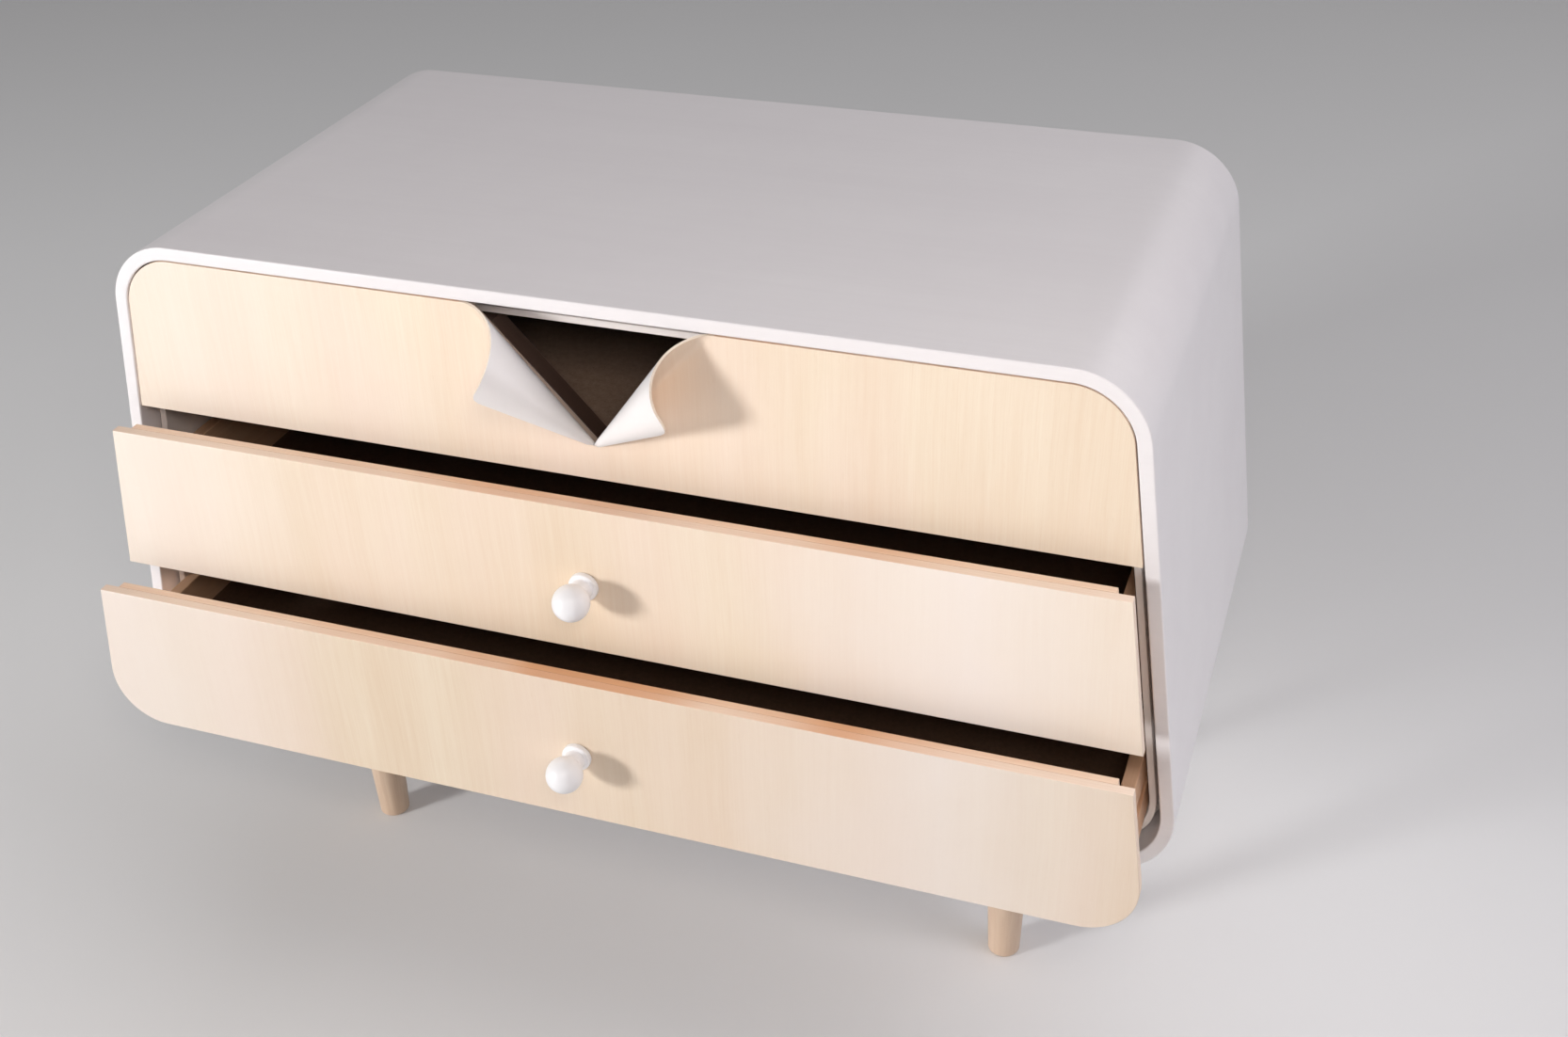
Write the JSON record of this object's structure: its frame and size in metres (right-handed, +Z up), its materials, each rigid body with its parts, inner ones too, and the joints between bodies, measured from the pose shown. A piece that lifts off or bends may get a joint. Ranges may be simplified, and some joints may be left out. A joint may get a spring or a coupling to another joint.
{
  "type": "commode chest",
  "caption": "Low chest of drawers with a flared, round-cornered body on turned tapered legs, sliding drawers with ball knobs, and a top front whose face layer curls open in a V.",
  "frame": {"origin": "on the floor, at the middle of the footprint of everything, the pulled-out drawers and their knobs included", "axes": "+X to the right as seen from the front, +Y to the rear, +Z up"},
  "size_m": [0.9942, 0.6054, 0.701],
  "materials": {
    "white_lacquer": "bent plywood under satin white lacquer",
    "sleeve_paint": "thin bent plywood painted off-white, eggshell sheen",
    "front_veneer": "pale birch veneer with a fine upright grain, clear satin lacquer",
    "dark_stain": "dark brown stain, matt",
    "beech_ply": "bare beech and plywood, fine sanded",
    "hardboard": "brown hardboard, matt",
    "turned_beech": "turned beech, clear satin lacquer",
    "gloss_white": "turned wood under gloss white lacquer",
    "steel": "zinc-plated steel"
  },
  "bodies": {
    "carcass": {"outer_shell": "white_lacquer", "inner_sleeve": "sleeve_paint", "spacer_frame_front": "beech_ply", "spacer_frame_rear": "beech_ply", "back_panel": "hardboard", "runner_top_left": "beech_ply", "runner_top_right": "beech_ply", "runner_middle_left": "beech_ply", "runner_middle_right": "beech_ply", "runner_bottom_left": "beech_ply", "runner_bottom_right": "beech_ply", "leg_front_left": "turned_beech", "leg_front_right": "turned_beech", "leg_rear_left": "turned_beech", "leg_rear_right": "turned_beech", "leg_stud_front_left": "steel", "leg_stud_front_right": "steel", "leg_stud_rear_left": "steel", "leg_stud_rear_right": "steel", "tee_nut_front_left": "steel", "tee_nut_front_right": "steel", "tee_nut_rear_left": "steel", "tee_nut_rear_right": "steel"},
    "drawer_top": {"drawer_top_peeled_face": "front_veneer", "drawer_top_front_core": "beech_ply", "drawer_top_backing": "dark_stain", "drawer_top_side_left": "beech_ply", "drawer_top_side_right": "beech_ply", "drawer_top_back": "beech_ply", "drawer_top_bottom": "hardboard"},
    "drawer_middle": {"drawer_middle_front": "front_veneer", "drawer_middle_backing": "beech_ply", "drawer_middle_side_left": "beech_ply", "drawer_middle_side_right": "beech_ply", "drawer_middle_back": "beech_ply", "drawer_middle_bottom": "hardboard", "drawer_middle_knob": "gloss_white", "drawer_middle_knob_screw": "steel"},
    "drawer_bottom": {"drawer_bottom_front": "front_veneer", "drawer_bottom_backing": "beech_ply", "drawer_bottom_side_left": "beech_ply", "drawer_bottom_side_right": "beech_ply", "drawer_bottom_back": "beech_ply", "drawer_bottom_bottom": "hardboard", "drawer_bottom_knob": "gloss_white", "drawer_bottom_knob_screw": "steel"}
  },
  "joints": [
    {"name": "drawer_top_slide", "type": "slide", "parent": "carcass", "child": "drawer_top", "axis": [0, -1, 0], "range_m": [0, 0.3]},
    {"name": "drawer_middle_slide", "type": "slide", "parent": "carcass", "child": "drawer_middle", "axis": [0, -1, 0], "range_m": [-0.0436, 0.2564]},
    {"name": "drawer_bottom_slide", "type": "slide", "parent": "carcass", "child": "drawer_bottom", "axis": [0, -1, 0], "range_m": [-0.0882, 0.2118]}
  ]
}
